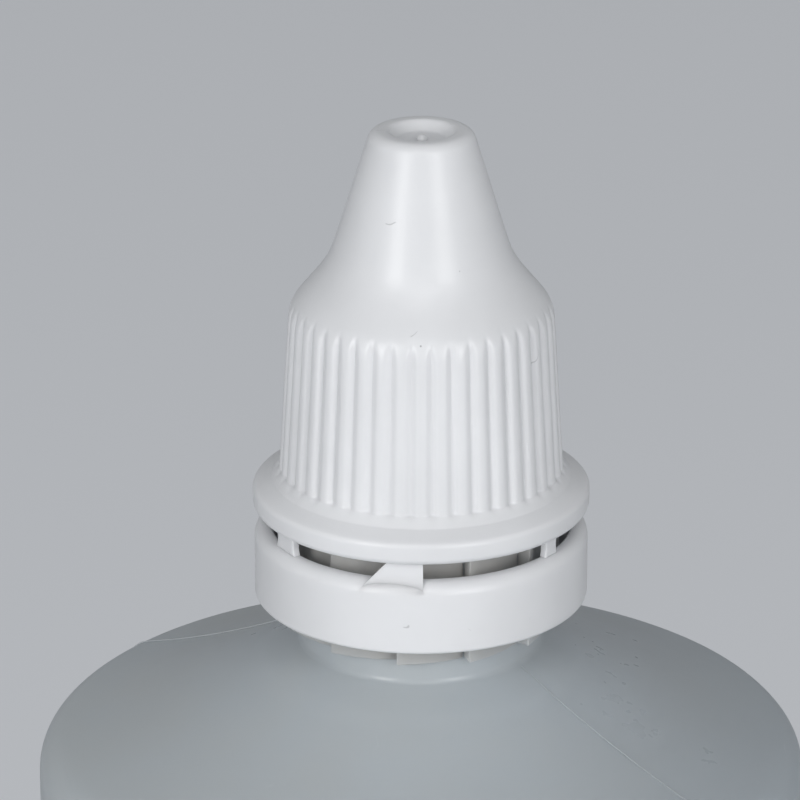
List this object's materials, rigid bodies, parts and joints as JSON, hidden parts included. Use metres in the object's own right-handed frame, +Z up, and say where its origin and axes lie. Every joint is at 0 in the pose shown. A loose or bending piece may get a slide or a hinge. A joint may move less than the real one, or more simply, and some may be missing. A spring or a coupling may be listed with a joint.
{
  "type": "dropper bottle",
  "caption": "Squeeze dropper bottle with a ribbed conical screw cap, a tamper ring on breakaway bridges and a press-in drop nozzle.",
  "frame": {"origin": "centre of the base, in the plane of the ring that the bottle stands on", "axes": "+Z up along the bottle's axis, -Y towards the front of the closure, +X to its right"},
  "size_m": [0.0463, 0.0462, 0.112],
  "materials": {
    "bottle_ldpe": "soft satin natural low-density polyethylene",
    "plug_ldpe": "soft satin natural low-density polyethylene",
    "closure_pp": "smooth white polypropylene, as moulded"
  },
  "bodies": {
    "bottle": {"bottle": "bottle_ldpe", "dropper_plug": "plug_ldpe"},
    "bridges": {"breakaway_bridges": "closure_pp"},
    "cap": {"cap": "closure_pp"},
    "tamper_ring": {"tamper_ring": "closure_pp"}
  },
  "joints": [
    {"name": "cap_lift", "type": "slide", "parent": "bottle", "child": "bridges", "axis": [0, 0, 1], "range_m": [0, 0.024]},
    {"name": "cap_turn", "type": "hinge", "parent": "bridges", "child": "cap", "pos_m": [0, 0, 0.0944], "axis": [0, 0, 1], "range_deg": [0, 2880]},
    {"name": "ring_drop", "type": "slide", "parent": "bottle", "child": "tamper_ring", "axis": [0, 0, 1], "range_m": [-0.0032, 0]}
  ],
  "couplings": [
    {"joint": "cap_turn", "follows": "cap_lift", "rad_per_m": 2094.4}
  ]
}
